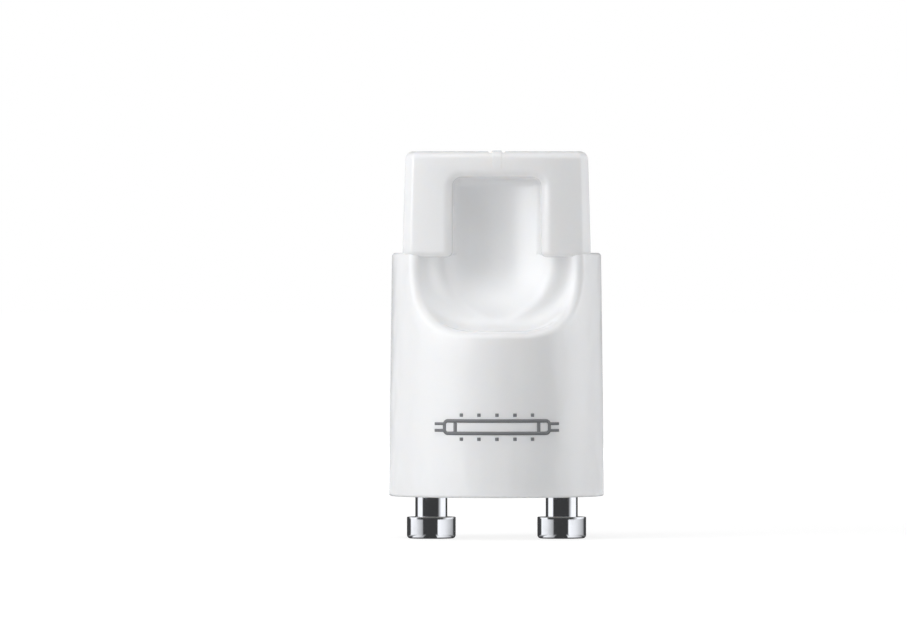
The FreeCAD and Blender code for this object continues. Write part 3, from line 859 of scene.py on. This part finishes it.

# %% [markdown]
# ## The cards: painted reflections
#
# A set of cards is one ring of mesh that glows in grey tones, a painted reflection. Its corners carry the tone as a
# colour, which changes from azimuth to azimuth and is mixed between them, so the ring needs only one plain material.
# Only glossy rays meet it: it lights nothing, throws no shadow, and the camera looks straight through it. The floor
# inside it is dark right under the object, a painted shadow where a real floor would be in the object's shadow.


# %% Helpers: tones by azimuth, and a ring of cards that paint reflections
painted_reflection_tint = (0.96, 0.97, 1.0)
shadow_tone = 0.05
shadow_edge = 1.03  # where the floor has its own tones again, in radii of its dark middle
azimuth_step = 2


def tone_at(stops, azimuth):
    """The tone at an azimuth, between the stops on either side of it."""
    for (low, dark), (high, light) in zip(stops, stops[1:]):
        if low <= azimuth <= high:
            return dark + (light - dark) * (azimuth - low) / (high - low)


def painted_reflection_finish(name):
    """A glow in the tones that the ring's corners carry, seen only as a painted reflection."""
    material, tree = new_material(name)
    tree.nodes.clear()
    shade = add(tree, "ShaderNodeAttribute", attribute_name="tone")
    # the glow is the painted reflection's tone, read from the ring's corners
    glow = add(tree, "ShaderNodeEmission", strength=1.0)
    leave = add(tree, "ShaderNodeOutputMaterial")
    join(tree, (shade, "Color"), (glow, "Color"), (glow, 0), (leave, "Surface"))
    arrange(tree)
    return material


def painted_reflection_ring(name, x, foot, reach, dark, near, bands):
    """A painted reflection: a wall of cards round the axis at x that only reflections see, with a painted shadow in
    its floor's middle.

    foot is the height of the dark middle, dark its radius, and near the tones by azimuth of the floor round it. reach
    is the radius of the wall. bands gives, from its bottom up, where each band starts and ends and its tones.
    """
    spots = [(0.0, foot, None), (dark, foot, None), (dark * shadow_edge, foot, near)]
    for low, high, tones in bands:
        spots += [(reach, low, tones), (reach, high, tones)]
    points, colours = [], []
    for azimuth in range(-180, 180, azimuth_step):
        for distance, height, tones in spots:
            points.append(compass(azimuth, distance, height) + Vector((x, 0, 0)))
            tone = tone_at(tones, azimuth) if tones else shadow_tone
            colours += [tone * share for share in painted_reflection_tint] + [1.0]
    across = len(spots)
    faces = []
    for here in range(0, len(points), across):
        there = (here + across) % len(points)
        faces += [(here + k, there + k, there + k + 1, here + k + 1) for k in range(across - 1)]
    mesh = bpy.data.meshes.new(name)
    mesh.from_pydata(points, [], faces)
    mesh.attributes.new("tone", "FLOAT_COLOR", "POINT")
    mesh.attributes["tone"].data.foreach_set("color", colours)
    mesh.materials.append(painted_reflection_finish(name))
    card = bpy.data.objects.new(name, mesh)
    bpy.context.scene.collection.objects.link(card)
    # hidden from all but glossy rays: a painted reflection that lights nothing and throws no shadow
    card.visible_camera = False
    card.visible_diffuse = False
    card.visible_transmission = False
    card.visible_shadow = False
    print(name, "with", len(mesh.polygons), "faces")


# %% The painted reflections round the can
# the painted reflection's brightness round the can, by azimuth: bright to the left and the right, dark at the front
# right and at the back
can_tones = (
    (-180, 0.3), (-160, 0.4), (-140, 1.2), (-120, 1.6), (-100, 2.3), (-80, 4.8), (-40, 4.8), (-20, 1.1), (0, 0.6),
    (20, 0.05), (60, 0.05), (80, 4.6), (100, 4.6), (120, 2.3), (140, 1.4), (160, 0.4), (180, 0.3),
)
floor_tones = ((-180, 1.2), (180, 1.2))
upper_tones = ((-180, 0.4), (-130, 0.4), (-90, 2.0), (90, 2.0), (130, 0.4), (180, 0.4))
# the heights at which each band starts and ends, and its tones by azimuth
wall_bands = (
    (0.0002, 0.0003, floor_tones),
    (0.0004, 0.2, can_tones),
    (0.8, 2.5, upper_tones),
)
painted_reflection_ring("can_painted_reflections", x=0, foot=0.01 * MM, reach=0.62, dark=0.013, near=floor_tones, bands=wall_bands)

# %% [markdown]
# ## The painted reflections round the pins
#
# The pins are round mirrors, so a place across a pin's front shows one direction of the room. Their cards, painted
# reflections, are therefore given the other way round: each band says where on the pin it appears, as a share of the
# pin's radius from the middle line, and how bright it is. The head and the stem have bands of their own, and the
# cards stand close enough that each pin sees only its own.


# %% Helpers: what a pin mirrors
def mirrored_at(share, r, reach):
    """The azimuth on a ring of cards that a pin mirrors at this share of its radius from its middle line."""
    lean = math.asin(share)
    run = math.sqrt(reach ** 2 - (r * share) ** 2) - r * math.cos(lean)
    across = r * share + run * math.sin(2 * lean)
    out = r * math.cos(lean) + run * math.cos(2 * lean)
    return math.degrees(math.atan2(across, out))


def all_round(tones):
    """The same tones with the first and the last of them carried on to the back."""
    return [(-180, tones[0][1])] + tones + [(180, tones[-1][1])]


def wall_tones(bands, r, reach):
    """Tones by azimuth on the wall, from tones by the place across the pin's front that mirrors them."""
    return all_round([(mirrored_at(share, r, reach), tone) for share, tone in bands])


def near_tones(bands):
    """The same for the floor beside the pin, which the rounding of its foot mirrors straight in front of it."""
    return all_round([(math.degrees(math.asin(share)), tone) for share, tone in bands])


# %% The painted reflections round the pins
# where across the head and the stem each band of painted reflection falls, and how bright it is
head_bands = (
    (-0.85, 0.06), (-0.82, 1.2), (-0.62, 1.05), (-0.36, 0.5), (-0.33, 0.05), (0.25, 0.05), (0.28, 1.2),
    (0.55, 1.0), (0.88, 0.4), (0.9, 0.06),
)
stem_bands = (
    (-0.86, 0.06), (-0.82, 1.2), (-0.57, 1.2), (-0.52, 0.05), (0.42, 0.05), (0.62, 1.2), (0.87, 1.2), (0.9, 0.06),
)
pin_reach = 5.5 * MM
pin_bands = (
    (0.1 * MM, 2.05 * MM, wall_tones(head_bands, head_r, pin_reach)),
    (2.1 * MM, 4.1 * MM, wall_tones(stem_bands, stem_r, pin_reach)),
)
for side, name in ((-1, "left_pin_painted_reflections"), (1, "right_pin_painted_reflections")):
    painted_reflection_ring(
        name, x=side * pin_x, foot=0.03 * MM, reach=pin_reach, dark=2.3 * MM,
        near=near_tones(head_bands), bands=pin_bands,
    )

# %% [markdown]
# ## The camera
#
# The picture was taken from far off with a long lens, a hair above the level of the can. The object stands a little
# right of the middle of the frame, so the camera aims slightly to its left and needs no shift.

# %% The camera
eye_x = -0.00419
eye_y = -1.1
eye_z = 0.030
look_z = 0.0218
camera = bpy.data.cameras.new("long_lens")
camera.sensor_width = 36.0
camera.lens = 448.4
camera.clip_start = 0.01
eye = bpy.data.objects.new("long_lens", camera)
bpy.context.scene.collection.objects.link(eye)
eye.location = (eye_x, eye_y, eye_z)
eye.rotation_euler = aimed_at(eye.location, (eye_x, 0, look_z))
bpy.context.scene.camera = eye
bpy.context.scene.view_settings.view_transform = "Standard"
print("camera:", round(camera.lens), "mm lens,", -eye_y, "m in front of the object")
